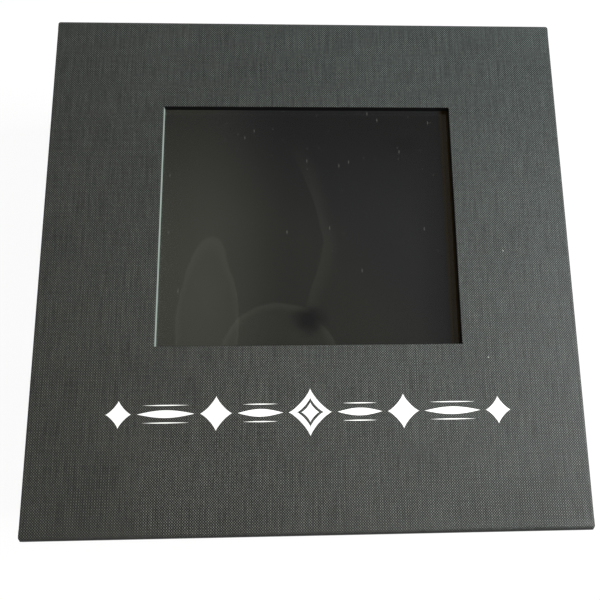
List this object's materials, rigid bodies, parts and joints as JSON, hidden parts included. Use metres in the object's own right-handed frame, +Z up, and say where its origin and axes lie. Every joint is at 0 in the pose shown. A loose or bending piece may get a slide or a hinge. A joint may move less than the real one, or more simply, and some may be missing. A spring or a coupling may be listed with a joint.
{
  "type": "magnetic keepsake box",
  "caption": "Rigid square keepsake box covered in black linen paper: hinged lid with a clear photo window and slide-in card, and a front flap held shut by magnets.",
  "frame": {"origin": "middle of the box's underside, at the centre of the closed box's footprint", "axes": "+X to the right seen from the flap's side, +Y from the flap to the spine, +Z up through the lid"},
  "size_m": [0.22, 0.22, 0.1],
  "materials": {
    "linen_paper": "black linen-embossed covering paper, satin",
    "lining_paper": "smooth black lining paper, matt",
    "greyboard": "unbleached greyboard",
    "stay_tape": "gummed kraft tape",
    "clear_film": "clear polyester film, glossy",
    "black_card": "black card, matt",
    "magnet_nickel": "nickel-plated magnet",
    "keeper_steel": "zinc-plated steel disc"
  },
  "bodies": {
    "tray": {"spine_cover": "linen_paper", "base_cover": "linen_paper", "tray_cover": "linen_paper", "spine_lining": "lining_paper", "tray_wall_lining": "lining_paper", "tray_floor_lining": "lining_paper", "spine_board": "greyboard", "base_board": "greyboard", "tray_floor": "greyboard", "tray_front_wall": "greyboard", "tray_back_wall": "greyboard", "tray_left_wall": "greyboard", "tray_right_wall": "greyboard", "front_left_corner_stay": "stay_tape", "front_right_corner_stay": "stay_tape", "back_left_corner_stay": "stay_tape", "back_right_corner_stay": "stay_tape", "left_keeper_disc": "keeper_steel", "right_keeper_disc": "keeper_steel"},
    "lid": {"lid_board": "greyboard", "lid_cover": "linen_paper", "lid_front_end_lining": "lining_paper", "lid_back_end_lining": "lining_paper", "window_film": "clear_film", "front_packing_strip": "greyboard", "back_packing_strip": "greyboard", "left_packing_strip": "greyboard", "pocket_panel": "greyboard", "lid_lining": "lining_paper"},
    "flap": {"flap_board": "greyboard", "flap_cover": "linen_paper", "flap_lining": "lining_paper", "left_flap_magnet": "magnet_nickel", "right_flap_magnet": "magnet_nickel"},
    "card": {"photo_card": "black_card"}
  },
  "joints": [
    {"name": "lid_hinge", "type": "hinge", "parent": "tray", "child": "lid", "pos_m": [0, 0.10956, 0.09956], "axis": [-1, 0, 0], "range_deg": [0, 201]},
    {"name": "flap_hinge", "type": "hinge", "parent": "lid", "child": "flap", "pos_m": [0, -0.10956, 0.09956], "axis": [-1, 0, 0], "range_deg": [0, 90]},
    {"name": "card_slide", "type": "slide", "parent": "lid", "child": "card", "axis": [1, 0, 0], "range_m": [0, 0.165]}
  ]
}
